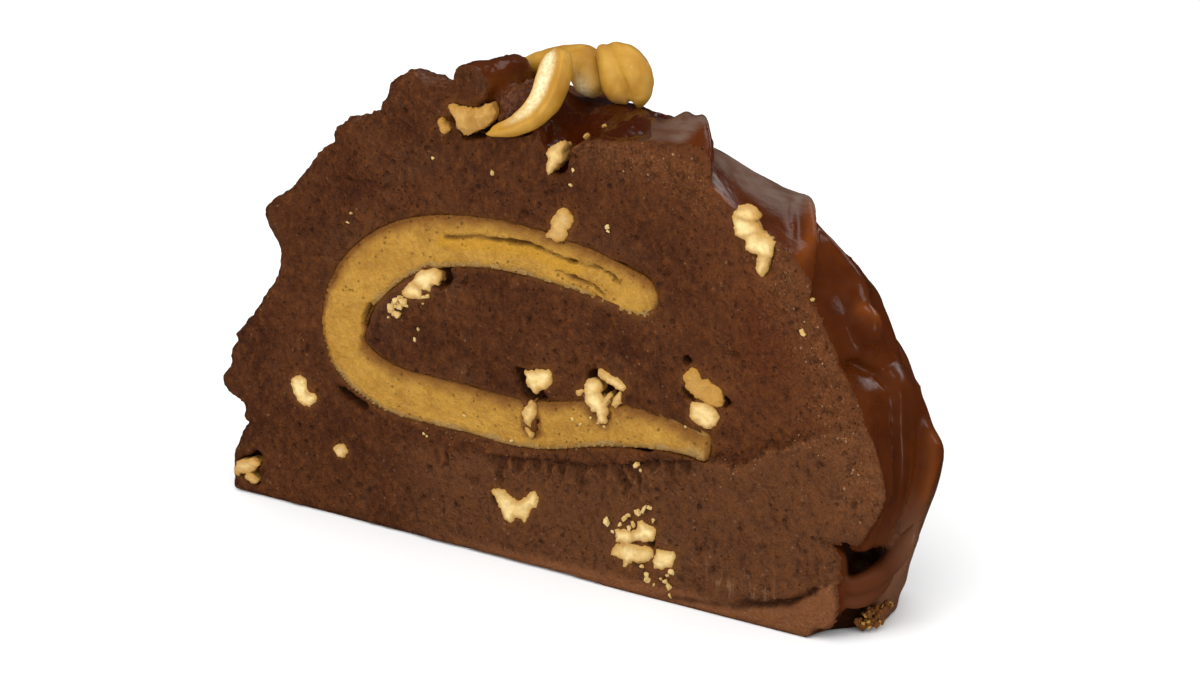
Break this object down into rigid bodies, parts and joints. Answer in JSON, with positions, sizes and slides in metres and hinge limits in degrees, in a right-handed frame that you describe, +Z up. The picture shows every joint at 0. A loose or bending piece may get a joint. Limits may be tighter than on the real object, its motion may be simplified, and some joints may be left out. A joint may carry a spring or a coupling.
{
  "type": "caramel fudge slice",
  "caption": "Thick cut slice of a hand-shaped chocolate fudge loaf with a caramel ribbon rolled through it, nut pieces in its cut faces and cashews pressed into its craggy top.",
  "frame": {"origin": "centre of the bounding box at the flat base", "axes": "+X along the cut faces towards the foot with the folded skirt, +Y from the front cut face to the back one, +Z up"},
  "size_m": [0.1268, 0.026, 0.082],
  "materials": {
    "fudge": "satin, fine-grained on the cut faces and glossier on the skin",
    "caramel": "satin, grainy",
    "nut": "matt, broken",
    "cashew": "satin, roasted"
  },
  "bodies": {
    "root": {"fudge": "fudge", "caramel_ribbon": "caramel", "cashew_front": "cashew", "cashew_back": "cashew", "cashew_right": "cashew", "nut_inner": "nut", "nut_half_moon": "nut", "nut_small": "nut", "nut_foot": "nut", "nut_heart": "nut", "nut_blocks": "nut", "nut_block": "nut", "nut_wedge": "nut", "nut_spike": "nut", "nut_stem": "nut", "nut_sliver": "nut", "nut_toasted": "nut", "nut_pale_block": "nut", "nut_stub": "nut", "nut_crest": "nut", "nut_shoulder": "nut", "nut_under_roll": "nut", "back_nut_low": "nut", "back_nut_left": "nut", "back_nut_top": "nut", "back_nut_side": "nut", "back_nut_ribbon": "nut", "back_nut_foot": "nut"}
  },
  "joints": []
}
